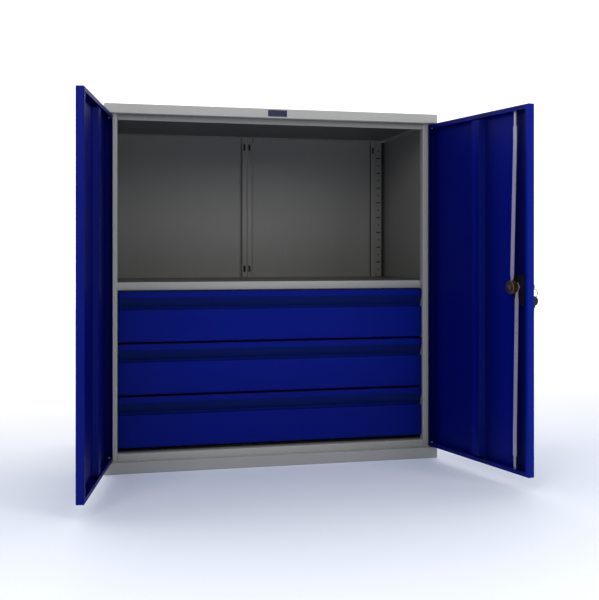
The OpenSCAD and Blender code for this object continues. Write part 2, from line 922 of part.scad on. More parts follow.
module spare_key_bow() {
    color("#15161a") difference() {
        at_spare_key(spare_bow_t) difference() {
            union() {
                for (side = [-1, 1])
                    translate([side * spare_bow_wide, -spare_bow_drop]) circle(r = spare_bow_r);
                translate([-spare_bow_wide, -spare_bow_drop - spare_bow_r])
                    square([2 * spare_bow_wide, 2 * spare_bow_r]);
                translate([-spare_neck_w / 2, -spare_bow_drop - spare_bow_r - spare_neck_l])
                    square([spare_neck_w, spare_bow_r + spare_neck_l]);
            }
            circle(r = spare_hole_r);
        }
        at_spare_key(key_t) translate([-key_blade / 2, spare_root - spare_blade_l])
            square([key_blade, spare_blade_l]);
    }
}

top_panel();
ceiling_panel();
plinth_frame();
floor_panel();
left_side_panel();
right_side_panel();
left_back_panel();
right_back_panel();
mid_shelf();
shelf_clips();
hinge_pins();
label_plate();
slide_channels(1);  // slide_channels_1
slide_channels(2);  // slide_channels_2
slide_channels(3);  // slide_channels_3
outer_slides(1);  // outer_slides_1
outer_slides(2);  // outer_slides_2
outer_slides(3);  // outer_slides_3
middle_slides(1);  // middle_slides_1
middle_slides(2);  // middle_slides_2
middle_slides(3);  // middle_slides_3
ball_cages(1);  // ball_cages_1
ball_cages(2);  // ball_cages_2
ball_cages(3);  // ball_cages_3
inner_slides(1);  // inner_slides_1
inner_slides(2);  // inner_slides_2
inner_slides(3);  // inner_slides_3
drawer_tray(1);  // drawer_tray_1
drawer_tray(2);  // drawer_tray_2
drawer_tray(3);  // drawer_tray_3
drawer_front(1);  // drawer_front_1
drawer_front(2);  // drawer_front_2
drawer_front(3);  // drawer_front_3
left_door_panel();
left_door_stiffener();
left_door_bushes();
right_door_panel();
right_door_stiffener();
right_door_bushes();
lock_plate();
lock_housing();
lock_nut();
lock_core();
lock_cam();
cam_screw();
upper_rod();
lower_rod();
door_key();
key_ring();
spare_key();
spare_key_bow();
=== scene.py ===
"""The looks of a steel tool cabinet with two doors, three drawers and a rod lock.

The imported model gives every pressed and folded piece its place. This script gives each
piece its finish, adds the small turned, cast and moulded pieces, and sets the camera,
the light and the floor. Lengths are in metres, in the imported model's own frame.
"""

from __future__ import annotations

import json
import logging
import math
from dataclasses import dataclass, replace
from enum import Enum
from typing import Any, Callable, ClassVar, Sequence, Union

import bpy
from mathutils import Matrix, Vector


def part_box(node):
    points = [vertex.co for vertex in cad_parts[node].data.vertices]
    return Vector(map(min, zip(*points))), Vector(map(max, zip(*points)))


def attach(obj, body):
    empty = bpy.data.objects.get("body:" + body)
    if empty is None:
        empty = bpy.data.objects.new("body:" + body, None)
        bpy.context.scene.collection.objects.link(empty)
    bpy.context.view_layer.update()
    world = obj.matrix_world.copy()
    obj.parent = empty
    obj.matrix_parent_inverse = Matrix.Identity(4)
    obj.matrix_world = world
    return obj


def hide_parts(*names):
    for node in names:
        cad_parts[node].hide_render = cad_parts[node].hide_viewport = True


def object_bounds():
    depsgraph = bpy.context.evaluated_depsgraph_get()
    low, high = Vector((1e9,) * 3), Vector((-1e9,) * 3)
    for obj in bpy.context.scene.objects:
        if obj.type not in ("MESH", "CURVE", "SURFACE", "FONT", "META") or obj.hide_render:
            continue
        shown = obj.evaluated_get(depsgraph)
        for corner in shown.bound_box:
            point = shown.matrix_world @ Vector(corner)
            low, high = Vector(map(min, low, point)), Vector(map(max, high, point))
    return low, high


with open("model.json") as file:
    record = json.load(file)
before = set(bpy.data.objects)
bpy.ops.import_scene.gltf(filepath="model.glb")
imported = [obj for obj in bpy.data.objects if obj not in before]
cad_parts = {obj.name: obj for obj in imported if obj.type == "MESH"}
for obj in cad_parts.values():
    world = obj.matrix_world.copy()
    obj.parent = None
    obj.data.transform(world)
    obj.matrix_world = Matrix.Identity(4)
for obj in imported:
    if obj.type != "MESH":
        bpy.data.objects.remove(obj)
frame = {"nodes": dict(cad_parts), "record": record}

log = logging.getLogger("cabinet")
CAD_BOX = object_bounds()
MM = 0.001
DOOR_T = 20 * MM
PITCH = 144

Number = Union[float, "Wire"]
Colour = tuple[float, float, float]
Place = tuple[float, float, float]
Reach = tuple[Union[float, None], Union[float, None], Union[float, None]]
FaceTest = Callable[[bpy.types.MeshPolygon], bool]
ORIGIN: Place = (0, 0, 0)
EVEN: Place = (1, 1, 1)
OPEN: Reach = (None, None, None)

# A face looks along an axis if its normal has more than this share of it.
FACING = 0.9
# A cutting tool is this much longer than its cut, or this much thicker than what it pierces.
OVERSHOOT = 1.2
THROUGH = 3
SHARP = math.radians(35)
SMOOTH = math.radians(40)
ACROSS = Matrix.Rotation(math.radians(90), 4, "Y")


def linear(red: int, green: int, blue: int) -> Colour:
    """Turns a display colour into the linear values of a shader.

    Args:
        red: The red channel, 0 to 255.
        green: The green channel.
        blue: The blue channel.

    Returns:
        The linear colour.
    """
    def channel(value: int) -> float:
        """Undoes the display curve of one channel."""
        share = value / 255
        return share / 12.92 if share <= 0.04045 else ((share + 0.055) / 1.055) ** 2.4
    return channel(red), channel(green), channel(blue)


class Wire:
    """A shader value or colour on its way between nodes, with arithmetic for values."""

    def __init__(self, graph: Graph, socket: bpy.types.NodeSocket) -> None:
        """Wraps a node's output socket.

        Args:
            graph: The node tree that new maths goes into.
            socket: The output that this value comes from.
        """
        self.graph = graph
        self.socket = socket

    def _maths(self, operation: str, left: Number, right: Number) -> Wire:
        """Adds one Math node and returns its result."""
        return self.graph.node("ShaderNodeMath", {"operation": operation}, {0: left, 1: right})

    def __add__(self, other: Number) -> Wire:
        """Adds a value."""
        return self._maths("ADD", self, other)

    __radd__ = __add__

    def __sub__(self, other: Number) -> Wire:
        """Takes a value away."""
        return self._maths("SUBTRACT", self, other)

    def __rsub__(self, other: Number) -> Wire:
        """Takes this value away from a number."""
        return self._maths("SUBTRACT", other, self)

    def __mul__(self, other: Number) -> Wire:
        """Multiplies by a value."""
        return self._maths("MULTIPLY", self, other)

    __rmul__ = __mul__

    def sway(self, amount: float) -> Wire:
        """Turns a pattern of 0 to 1 into a push of up to half an amount either way."""
        return (self - 0.5) * amount

    def above(self, edge: float, soft: float) -> Wire:
        """Returns 1 where this value is over an edge, with a soft step.

        Args:
            edge: Middle of the step.
            soft: Half the step's width.

        Returns:
            A value from 0 to 1.
        """
        limits = {1: edge - soft, 2: edge + soft}
        return self.graph.node("ShaderNodeMapRange", {"clamp": True}, {0: self, **limits})


@dataclass(frozen=True)
class Grain:
    """A cloudy pattern: its features to a metre, and how broken up they are."""

    scale: float
    detail: float = 2
    rough: float = 0.5


class Graph:
    """A node tree that is built step by step."""

    def __init__(self, tree: bpy.types.NodeTree) -> None:
        """Takes over a tree.

        Args:
            tree: The node tree that new nodes go into.
        """
        self.tree = tree

    def node(self, kind: str, settings: dict, sockets: dict, output: Union[int, str] = 0) -> Wire:
        """Adds any node.

        Args:
            kind: The node's type name.
            settings: Properties that are set first.
            sockets: Values or links by socket name or index.
            output: Name or index of the output that is wanted.

        Returns:
            The wanted output.
        """
        made = self.tree.nodes.new(kind)
        for name, value in settings.items():
            setattr(made, name, value)
        for name, value in sockets.items():
            self.feed(made.inputs[name], value)
        return Wire(self, made.outputs[output])

    def feed(self, socket: bpy.types.NodeSocket, value: Union[Number, Sequence[float]]) -> None:
        """Links or sets one input socket.

        Args:
            socket: The socket.
            value: What it is linked to or set to.
        """
        if isinstance(value, Wire):
            self.tree.links.new(value.socket, socket)
        else:
            socket.default_value = value

    def place(self, stretch: Place = EVEN) -> Wire:
        """Returns the object's own coordinates, stretched."""
        coordinates = self.node("ShaderNodeTexCoord", {}, {}, "Object")
        return self.node("ShaderNodeMapping", {}, {"Vector": coordinates, "Scale": stretch})

    def door_place(self, side: str) -> Wire:
        """Measures along a door from its pivot, up it, and inward.

        Args:
            side: left or right.

        Returns:
            The coordinates, for the door at rest.
        """
        place, turn, size = Workshop.door_frame(side).decompose()
        coordinates = self.node("ShaderNodeTexCoord", {}, {}, "Object")
        sockets = {"Vector": coordinates, "Location": place, "Rotation": turn.to_euler(), "Scale": size}
        return self.node("ShaderNodeMapping", {"vector_type": "TEXTURE"}, sockets)

    def noise(self, where: Wire, grain: Grain) -> Wire:
        """Returns a cloudy pattern of about 0 to 1."""
        sockets = {"Vector": where, "Scale": grain.scale, "Detail": grain.detail, "Roughness": grain.rough}
        return self.node("ShaderNodeTexNoise", {"noise_dimensions": "3D"}, sockets, "Fac")

    def blend(self, share: Number, first: Union[Wire, Colour], second: Union[Wire, Colour]) -> Wire:
        """Mixes two colours.

        Args:
            share: How much there is of the second.
            first: The first colour.
            second: The second colour.

        Returns:
            The mixed colour.
        """
        def full(value: Union[Wire, Colour]) -> Union[Wire, tuple]:
            """Adds the alpha that a colour socket wants."""
            return value if isinstance(value, Wire) else (*value, 1)
        sockets = {"Factor": share, 6: full(first), 7: full(second)}
        return self.node("ShaderNodeMix", {"data_type": "RGBA"}, sockets, 2)

    def bump(self, height: Wire, distance: float) -> Wire:
        """Turns a height pattern into a surface normal."""
        return self.node("ShaderNodeBump", {}, {"Height": height, "Distance": distance, "Strength": 1.0})


class Paint(Graph):
    """The node tree of one material, round a Principled shader."""

    def __init__(self, name: str) -> None:
        """Makes an empty material.

        Args:
            name: Name of the material.
        """
        self.material = bpy.data.materials.new(name)
        self.material.use_nodes = True
        super().__init__(self.material.node_tree)
        self.tree.nodes.clear()
        output = self.tree.nodes.new("ShaderNodeOutputMaterial")
        self.shader = self.tree.nodes.new("ShaderNodeBsdfPrincipled")
        self.tree.links.new(self.shader.outputs[0], output.inputs["Surface"])

    def finish(self, **sockets: Union[Number, Sequence[float]]) -> bpy.types.Material:
        """Feeds the Principled shader.

        Args:
            **sockets: Values or links by socket name, with _ for each space.

        Returns:
            The finished material.
        """
        for name, value in sockets.items():
            if isinstance(value, tuple) and len(value) == 3 and "Color" in name:
                value = (*value, 1)
            self.feed(self.shader.inputs[name.replace("_", " ")], value)
        return self.material


@dataclass(frozen=True)
class LightShadeZone:
    """A box of a piece's own space in which light or shade is painted into its paint, lighter or darker.

    Its lengths are in millimetres, and a side that is None is open. On a door it is
    measured along the door from the hinge, up it, and inward from its outer face.
    """

    tone: Colour
    low: Reach = OPEN
    high: Reach = OPEN
    edge: float = 0.2
    crisp: float = 0.2
    mirrored: bool = False
    pitch: float = 0
    door: str = ""

    def mask(self, g: Graph) -> Wire:
        """Returns 1 inside the box and 0 outside it, with a soft border.

        Args:
            g: The node tree that the paint is built in.

        Returns:
            A value from 0 to 1.
        """
        where = g.door_place(self.door) if self.door else g.place()
        share: Number = 1.0
        for axis, low, high in zip("XYZ", self.low, self.high):
            value = g.node("ShaderNodeSeparateXYZ", {}, {"Vector": where}, axis)
            if axis == "X" and self.mirrored:
                value = g.node("ShaderNodeMath", {"operation": "ABSOLUTE"}, {0: value})
            if axis == "Z" and self.pitch:
                repeat = {"operation": "FLOORED_MODULO"}
                value = g.node("ShaderNodeMath", repeat, {0: value, 1: self.pitch * MM})
            soft = (self.crisp if self.door and axis == "Z" else self.edge) * MM
            if low is not None:
                share = value.above(low * MM, soft) * share
            if high is not None:
                share = (1 - value.above(high * MM, soft)) * share
        return share


@dataclass(frozen=True)
class PowderCoat:
    """Stoved powder paint: a fine orange peel, a soft sheen, faint handling marks, and boxes of painted light
    and shade.
    """

    slot: str
    colour: Colour
    rub: Colour
    roughness: float = 0.42
    peel: float = 0.012 * MM
    sheen: float = 0.35
    light_and_shade_zones: tuple[LightShadeZone, ...] = ()
    cloud: ClassVar[Grain] = Grain(3.5, 3)
    pimples: ClassVar[Grain] = Grain(420)
    dust: ClassVar[Grain] = Grain(1500, 1)
    marks: ClassVar[Grain] = Grain(60, 4, 0.65)
    mark_stretch: ClassVar[Place] = (1, 1, 0.12)
    mark_step: ClassVar[tuple[float, float]] = (0.69, 0.05)
    mark_share: ClassVar[float] = 0.12
    cloud_share: ClassVar[float] = 0.35
    darker: ClassVar[float] = 0.86

    def build(self) -> bpy.types.Material:
        """Mixes the finish.

        Returns:
            Its material.
        """
        g = Paint(self.slot)
        where = g.place()
        cloud = g.noise(where, self.cloud)
        peel = g.noise(where, self.pimples)
        fine = g.noise(where, self.dust)
        marks = g.noise(g.place(self.mark_stretch), self.marks).above(*self.mark_step)
        tone = g.blend(cloud * self.cloud_share, self.colour, tuple(c * self.darker for c in self.colour))
        # Each zone paints light or shade into the tone: a painted highlight where it is lighter, painted
        # shade where it is darker.
        for zone in self.light_and_shade_zones:
            tone = g.blend(zone.mask(g), tone, zone.tone)
        return g.finish(
            Base_Color=g.blend(marks * self.mark_share, tone, self.rub),
            Roughness=self.roughness + cloud.sway(0.12) + marks * 0.08 + fine.sway(0.06),
            Normal=g.bump(peel + fine * 0.35, self.peel),
            Specular_IOR_Level=self.sheen,
        )


@dataclass(frozen=True)
class ZincPlate:
    """Zinc plated steel: a cool milky metal, drawn along the strip, with cloudy spangle."""

    slot: str
    colour: Colour
    roughness: float = 0.38
    metallic: float = 0.25
    cloud: ClassVar[Grain] = Grain(40, 3)
    lines: ClassVar[Grain] = Grain(900, 3)
    line_stretch: ClassVar[Place] = (1, 0.08, 1)
    spangle_scale: ClassVar[float] = 160
    duller: ClassVar[float] = 0.62
    relief: ClassVar[float] = 0.01 * MM

    def build(self) -> bpy.types.Material:
        """Mixes the finish.

        Returns:
            Its material.
        """
        g = Paint(self.slot)
        sockets = {"Vector": g.place(), "Scale": self.spangle_scale}
        spangle = g.node("ShaderNodeTexVoronoi", {"feature": "SMOOTH_F1"}, sockets)
        drawn = g.noise(g.place(self.line_stretch), self.lines)
        cloud = g.noise(g.place(), self.cloud)
        dull = tuple(c * self.duller for c in self.colour)
        return g.finish(
            Base_Color=g.blend(cloud * 0.55 + spangle * 0.25, self.colour, dull),
            Metallic=self.metallic,
            Roughness=self.roughness + cloud.sway(0.22) + drawn.sway(0.1),
            Normal=g.bump(drawn + cloud * 0.4, self.relief),
        )


@dataclass(frozen=True)
class CastMetal:
    """Die-cast or turned brass and bronze, with turning rings and dark, oily tarnish."""

    slot: str
    colour: Colour
    tarnish: Colour
    roughness: float = 0.4
    metallic: ClassVar[float] = 0.85
    cloud: ClassVar[Grain] = Grain(140, 4, 0.6)
    pores: ClassVar[Grain] = Grain(1600)
    stain_step: ClassVar[tuple[float, float]] = (0.52, 0.16)
    relief: ClassVar[float] = 0.02 * MM

    def build(self) -> bpy.types.Material:
        """Mixes the finish.

        Returns:
            Its material.
        """
        g = Paint(self.slot)
        cloud = g.noise(g.place(), self.cloud)
        fine = g.noise(g.place(), self.pores)
        stained = cloud.above(*self.stain_step)
        return g.finish(
            Base_Color=g.blend(stained, self.colour, self.tarnish),
            Metallic=self.metallic,
            Roughness=self.roughness + stained * 0.14 + fine.sway(0.1),
            Normal=g.bump(fine + cloud, self.relief),
        )


@dataclass(frozen=True)
class Moulded:
    """Moulded plastic or enamel with a fine sparked texture and a few lighter scuffs."""

    slot: str
    colour: Colour
    roughness: float = 0.5
    relief: float = 0.02 * MM
    sparks: ClassVar[Grain] = Grain(2200)
    cloud: ClassVar[Grain] = Grain(60, 3)
    scuffs: ClassVar[Grain] = Grain(420, 4, 0.7)
    scuff_stretch: ClassVar[Place] = (1, 0.3, 1)
    scuff_step: ClassVar[tuple[float, float]] = (0.68, 0.05)

    def build(self) -> bpy.types.Material:
        """Mixes the finish.

        Returns:
            Its material.
        """
        g = Paint(self.slot)
        grain = g.noise(g.place(), self.sparks)
        cloud = g.noise(g.place(), self.cloud)
        scuffs = g.noise(g.place(self.scuff_stretch), self.scuffs).above(*self.scuff_step)
        lighter = tuple(min(1, c * 1.8 + 0.02) for c in self.colour)
        return g.finish(
            Base_Color=g.blend(scuffs * 0.5 + cloud * 0.12, self.colour, lighter),
            Roughness=self.roughness + cloud.sway(0.12) + scuffs * 0.1,
            Normal=g.bump(grain, self.relief),
        )


@dataclass(frozen=True)
class StudioFloor:
    """Seamless pale studio floor with the faintest unevenness."""

    slot: str
    colour: Colour
    fade_at: float = 0.8
    fade: float = 0.8
    glow: Colour = (0.034, 0.052, 0.095)
    cloud: ClassVar[Grain] = Grain(1.2, 3)

    def build(self) -> bpy.types.Material:
        """Mixes the finish, which fades into the bright surround behind the cabinet.

        Returns:
            Its material.
        """
        g = Paint(self.slot)
        cloud = g.noise(g.place(), self.cloud)
        dimmer = tuple(c * 0.97 for c in self.colour)
        depth = g.node("ShaderNodeSeparateXYZ", {}, {"Vector": g.place()}, "Y")
        far = depth.above(self.fade_at, self.fade)
        return g.finish(
            Base_Color=g.blend(far, g.blend(cloud, self.colour, dimmer), (0, 0, 0)),
            Emission_Color=g.blend(far, self.glow, (1, 1, 1)),
            Emission_Strength=1.0,
            Roughness=0.55 + cloud * 0.1,
            Specular_IOR_Level=0.1,
        )


# Where the zones of painted light and shade below begin and end, in millimetres.
REAR_FACE = 477.5
REAR_SKIN = 489.5
MID_RIM = 15.7
SIDE_RIM = 424
WALL_FACE = 474.3
SHELF_LEVEL = 515
DOOR_SKIN = 0.5
DOOR_LIP = 12
TOP_FLANGE = 970.2
FREE_END = 451.5

# Tones of painted shade: in recesses and seams, by the rear rims, and under the doors' top flanges.
RECESS_SHADE = linear(44, 44, 43)
REAR_SHADE = linear(108, 107, 104)
FLANGE_SHADE = linear(1, 6, 62)

# Painted shade in the hollows behind the slots of the rear posts, and in the seams beside them.
HOLLOW_SHADES = (
    LightShadeZone(RECESS_SHADE, (None, REAR_FACE, None), (MID_RIM, REAR_SKIN, None), mirrored=True),
    LightShadeZone(RECESS_SHADE, (SIDE_RIM, REAR_FACE, None), (473.8, REAR_SKIN, None), mirrored=True),
    LightShadeZone(RECESS_SHADE, (438.1, 474, None), (439.9, 476.5, None), mirrored=True),
)
# Painted shade in the upper room behind the doors, above the shelf.
ROOM_SHADE = LightShadeZone(linear(128, 127, 124), (None, 38.1, SHELF_LEVEL), (WALL_FACE, REAR_SKIN, 975), mirrored=True)
# Painted shade, growing darker towards the right side of the cabinet.
RIGHT_SIDE_SHADE = LightShadeZone(linear(155, 155, 153), (250, None, None), edge=250)
# Painted shade on the shelf's top face.
SHELF_TOP_SHADE = LightShadeZone(linear(92, 91, 89), (None, 38.5, 515.5), (WALL_FACE, REAR_SKIN, 518), mirrored=True)
# Painted shade on the back field beside the middle rims and the side rims.
BACK_RIM_SHADE = LightShadeZone(REAR_SHADE, (MID_RIM, None, SHELF_LEVEL), (22.5, REAR_FACE, None), 1, mirrored=True)
BACK_SIDE_SHADE = LightShadeZone(REAR_SHADE, (417, None, SHELF_LEVEL), (SIDE_RIM, REAR_FACE, None), 1, mirrored=True)
# Painted shade in the seam between the two back panels.
BACK_SEAM_SHADE = LightShadeZone(RECESS_SHADE, (None, None, SHELF_LEVEL), (1.2, REAR_FACE, None), 0.4, mirrored=True)
# Painted shade on the rail under the cap's front edge.
TOP_RAIL_SHADE = LightShadeZone(linear(126, 126, 124), (None, 5, None), (None, None, 974.2), 0.3)
# Painted shade on the plinth, below 30.5 mm.
PLINTH_SHADE = LightShadeZone(linear(156, 156, 155), high=(None, None, 30.5), edge=0.3)
# Painted shade, darker towards the bottom drawer.
LOW_DRAWER_SHADE = LightShadeZone(linear(2, 18, 115), high=(None, None, 240), edge=60)
# Painted shade at both ends of the drawer fronts, by the doors.
DRAWER_END_SHADE = LightShadeZone(linear(1, 14, 100), (428, None, None), edge=20, mirrored=True)
# Painted shade in each drawer's pull, under its lip.
PULL_SHADE = LightShadeZone(linear(6, 24, 88), (None, None, 11.0), (None, None, 41.8), 1.5, pitch=PITCH)
# Painted shade along the top edge of each drawer front, in the gap above it.
TOP_EDGE_SHADE = LightShadeZone(linear(2, 6, 52), (None, None, 58.2), (None, None, 62.0), 0.6, pitch=PITCH)

# Painted shade by the hinge, a painted highlight and painted shade on the stiffener's two flanks, painted
# light on the skin, a painted shadow behind the rods, painted shade under the top flange, a painted highlight
# on the free end.
RIGHT_DOOR_LIGHT_AND_SHADE = tuple(replace(zone, door="right") for zone in (
    LightShadeZone(linear(1, 5, 79), (None, None, DOOR_SKIN), (28, None, None), 22),
    LightShadeZone(linear(3, 15, 121), (188, None, 1.6), (226, None, None), 3),
    LightShadeZone(linear(1, 9, 88), (250, None, DOOR_SKIN), (284, None, None), 9),
    LightShadeZone(linear(2, 14, 116), (320, None, DOOR_SKIN), (372, None, None), 18),
    LightShadeZone(linear(0, 4, 68), (383, 14, DOOR_SKIN), (421, 964, DOOR_LIP), 6),
    LightShadeZone(FLANGE_SHADE, (None, TOP_FLANGE, None), edge=0.3),
    LightShadeZone(linear(8, 30, 134), (FREE_END, None, None), edge=0.3),
))
# Painted shade by the hinge, on the skin and under the top flange, and a painted highlight on the free end.
LEFT_DOOR_LIGHT_AND_SHADE = tuple(replace(zone, door="left") for zone in (
    LightShadeZone(linear(1, 7, 84), (None, None, DOOR_SKIN), (80, None, None), 60),
    LightShadeZone(linear(2, 10, 92), (262, None, DOOR_SKIN), (400, None, DOOR_LIP), 14),
    LightShadeZone(FLANGE_SHADE, (None, TOP_FLANGE, None), edge=0.3),
    LightShadeZone(linear(5, 20, 112), (FREE_END, None, None), edge=0.3),
))


class Finish(Enum):
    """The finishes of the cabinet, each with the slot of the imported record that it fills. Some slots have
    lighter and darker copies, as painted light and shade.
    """

    # The outer grey, with painted shade on the right side, in the upper room, on the shelf's top, on the
    # plinth and in the hollows.
    GREY = PowderCoat(
        "grey_paint", linear(171, 171, 169), linear(200, 200, 198),
        light_and_shade_zones=(RIGHT_SIDE_SHADE, ROOM_SHADE, SHELF_TOP_SHADE, PLINTH_SHADE, *HOLLOW_SHADES))
    # A lighter copy of the outer grey for the cap, as painted light, with painted shade on the rail under it.
    LIT_CAP_GREY = PowderCoat("grey_paint", linear(180, 179, 175), linear(206, 206, 204), light_and_shade_zones=(TOP_RAIL_SHADE,))
    # The inner grey, darker than the outer grey and partly standing for shade inside the cabinet, with
    # painted shade by the rear rims, in the back seam and in the hollows.
    INNER_GREY = PowderCoat(
        "inner_grey", linear(135, 134, 131), linear(166, 166, 164),
        light_and_shade_zones=(BACK_RIM_SHADE, BACK_SIDE_SHADE, BACK_SEAM_SHADE, *HOLLOW_SHADES))
    # A darker copy of the inner grey for the ceiling, as painted shade.
    SHADED_CEILING_GREY = PowderCoat("inner_grey", linear(84, 83, 81), linear(110, 110, 108))
    # The blue of each door, with the painted light and shade of its zones.
    RIGHT_BLUE = PowderCoat(
        "blue_paint", linear(2, 13, 105), linear(16, 30, 120), 0.45,
        sheen=0.06, light_and_shade_zones=RIGHT_DOOR_LIGHT_AND_SHADE)
    LEFT_BLUE = PowderCoat(
        "blue_paint", linear(2, 13, 103), linear(16, 30, 120), 0.45,
        sheen=0.06, light_and_shade_zones=LEFT_DOOR_LIGHT_AND_SHADE)
    # A lighter, greener copy of the blue for the drawers, as a painted reflection, with painted shade on the
    # low drawer, at the ends, in the pull and along the top edge.
    LIT_DRAWER_BLUE = PowderCoat(
        "blue_paint", linear(2, 21, 124), linear(22, 42, 138),
        sheen=0.06, light_and_shade_zones=(LOW_DRAWER_SHADE, DRAWER_END_SHADE, PULL_SHADE, TOP_EDGE_SHADE))
    ZINC = ZincPlate("zinc_steel", linear(182, 178, 210))
    RING = ZincPlate("zinc_steel", linear(46, 51, 57))
    SCREW = CastMetal("zinc_steel", linear(132, 116, 118), linear(84, 70, 70))
    CAGE = ZincPlate("cage_steel", linear(140, 142, 148), 0.45, 0.6)
    BRASS = CastMetal("lock_brass", linear(120, 91, 62), linear(60, 46, 36))
    CAM = CastMetal("lock_brass", linear(112, 90, 88), linear(58, 47, 47))
    DARK = PowderCoat("dark_plate", linear(20, 16, 20), linear(44, 38, 38), 0.55, sheen=0.15)
    PLASTIC = Moulded("black_plastic", linear(24, 25, 30), 0.42)
    LABEL = Moulded("label_blue", linear(10, 12, 56), relief=0.006 * MM)
    FLOOR = StudioFloor("studio_floor", linear(243, 245, 252))


class Paintbox:
    """Makes each finish once and lends it out."""

    def __init__(self) -> None:
        """Starts with no material made."""
        self.made: dict[str, bpy.types.Material] = {}

    def material(self, finish: Finish) -> bpy.types.Material:
        """Lends out the material of a finish.

        Args:
            finish: The finish that is wanted.

        Returns:
            Its material, made on first use.
        """
        if finish.name not in self.made:
            self.made[finish.name] = finish.value.build()
            self.made[finish.name].name = finish.name.lower()
        return self.made[finish.name]

    def for_slot(self, slot: str) -> bpy.types.Material:
        """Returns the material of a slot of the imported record."""
        return self.material(next(f for f in Finish if f.value.slot == slot))


def is_front(face: bpy.types.MeshPolygon) -> bool:
    """Says whether a face looks along Z."""
    return face.normal.z > FACING


def is_flat(face: bpy.types.MeshPolygon) -> bool:
    """Says whether a face looks along Z or against it."""
    return abs(face.normal.z) > FACING


def is_crown(face: bpy.types.MeshPolygon) -> bool:
    """Says whether a face is the many-sided middle of a front that has been inset."""
    return is_front(face) and len(face.vertices) > 4


class Shape:
    """A new piece on the bench, shaped with edit-mode tools and then handed over."""

    def __init__(self, name: str) -> None:
        """Takes over the object that an operator has just made.

        Args:
            name: Name of the piece.
        """
        self.object = bpy.context.object
        self.object.name = name
        self.object.data.name = name
        bpy.ops.object.transform_apply(location=True, rotation=True, scale=True)

    @classmethod
    def round(cls, name: str, radius: float, depth: float, place: Place = ORIGIN, sides: int = 48) -> Shape:
        """Turns a disc or bar round the Z axis.

        Args:
            name: Name of the piece.
            radius: Its radius.
            depth: Its length along Z.
            place: Its middle.
            sides: Number of its sides.

        Returns:
            The new shape.
        """
        bpy.ops.object.select_all(action="DESELECT")
        bpy.ops.mesh.primitive_cylinder_add(vertices=sides, radius=radius, depth=depth, location=place)
        return cls(name)

    @classmethod
    def block(cls, name: str, size: Place, place: Place = ORIGIN) -> Shape:
        """Saws a block.

        Args:
            name: Name of the piece.
            size: Its size along X, Y and Z.
            place: Its middle.

        Returns:
            The new shape.
        """
        bpy.ops.object.select_all(action="DESELECT")
        bpy.ops.mesh.primitive_cube_add(size=1, location=place, scale=size)
        return cls(name)

    @classmethod
    def ball(cls, name: str, radius: float, place: Place = ORIGIN) -> Shape:
        """Grinds a small ball.

        Args:
            name: Name of the piece.
            radius: Its radius.
            place: Its middle.

        Returns:
            The new shape.
        """
        bpy.ops.object.select_all(action="DESELECT")
        bpy.ops.mesh.primitive_uv_sphere_add(segments=14, ring_count=8, radius=radius, location=place)
        return cls(name)

    def take(self) -> None:
        """Selects this piece alone and makes it the active one."""
        bpy.ops.object.select_all(action="DESELECT")
        self.object.select_set(True)
        bpy.context.view_layer.objects.active = self.object

    def pick(self, wanted: FaceTest) -> None:
        """Selects the faces that a test wants, and nothing else.

        Args:
            wanted: Says for a face whether it is wanted.
        """
        mesh = self.object.data
        for group in (mesh.vertices, mesh.edges, mesh.polygons):
            group.foreach_set("select", [False] * len(group))
        for face in mesh.polygons:
            face.select = wanted(face)

    def work(self, wanted: FaceTest, tool: Callable, **settings: Any) -> Shape:
        """Uses one edit-mode tool on some faces.

        Args:
            wanted: Says for a face whether it is worked on.
            tool: The operator.
            **settings: The operator's settings.

        Returns:
            This shape.
        """
        self.pick(wanted)
        self.take()
        bpy.ops.object.mode_set(mode="EDIT")
        bpy.ops.mesh.select_mode(type="FACE")
        tool(**settings)
        bpy.ops.object.mode_set(mode="OBJECT")
        return self

    def modify(self, kind: str, **settings: Any) -> Shape:
        """Adds one modifier and applies it.

        Args:
            kind: Type of the modifier.
            **settings: Its settings.

        Returns:
            This shape.
        """
        self.take()
        modifier = self.object.modifiers.new(kind, kind)
        for name, value in settings.items():
            setattr(modifier, name, value)
        bpy.ops.object.modifier_apply(modifier=modifier.name)
        return self

    def break_edges(self, width: float, segments: int = 2) -> Shape:
        """Rounds every sharp edge.

        Args:
            width: Width of the rounding.
            segments: Number of its facets.

        Returns:
            This shape.
        """
        return self.modify("BEVEL", width=width, segments=segments, limit_method="ANGLE", angle_limit=SHARP)

    def cut(self, tool: Shape) -> Shape:
        """Cuts another shape out of this one, and clears the tool away.

        Args:
            tool: The shape that is cut out.

        Returns:
            This shape.
        """
        self.modify("BOOLEAN", operation="DIFFERENCE", object=tool.object, solver="EXACT")
        bpy.data.objects.remove(tool.object)
        return self

    def weld(self, *others: Shape) -> Shape:
        """Makes one body of this shape and others that it overlaps.

        Args:
            *others: The other shapes.

        Returns:
            This shape.
        """
        for other in others:
            self.modify("BOOLEAN", operation="UNION", object=other.object, solver="EXACT")
            bpy.data.objects.remove(other.object)
        return self

    def copy(self, shift: Place = ORIGIN) -> Shape:
        """Copies the shape with a mesh of its own.

        Args:
            shift: How far the copy lies from this one.

        Returns:
            The copy.
        """
        self.take()
        bpy.ops.object.duplicate(linked=False)
        bpy.ops.transform.translate(value=shift)
        return Shape(self.object.name)

    def gather(self, *others: Shape) -> Shape:
        """Joins other shapes into this piece without welding them.

        Args:
            *others: The other shapes.

        Returns:
            This shape.
        """
        bpy.ops.object.select_all(action="DESELECT")
        for shape in (self, *others):
            shape.object.select_set(True)
        bpy.context.view_layer.objects.active = self.object
        bpy.ops.object.join()
        return self

    def put(self, frame_matrix: Matrix) -> Shape:
        """Moves the shape into a place's own frame.

        Args:
            frame_matrix: The frame of the place.

        Returns:
            This shape.
        """
        self.take()
        self.object.matrix_world = frame_matrix
        bpy.ops.object.transform_apply(location=True, rotation=True, scale=True)
        return self

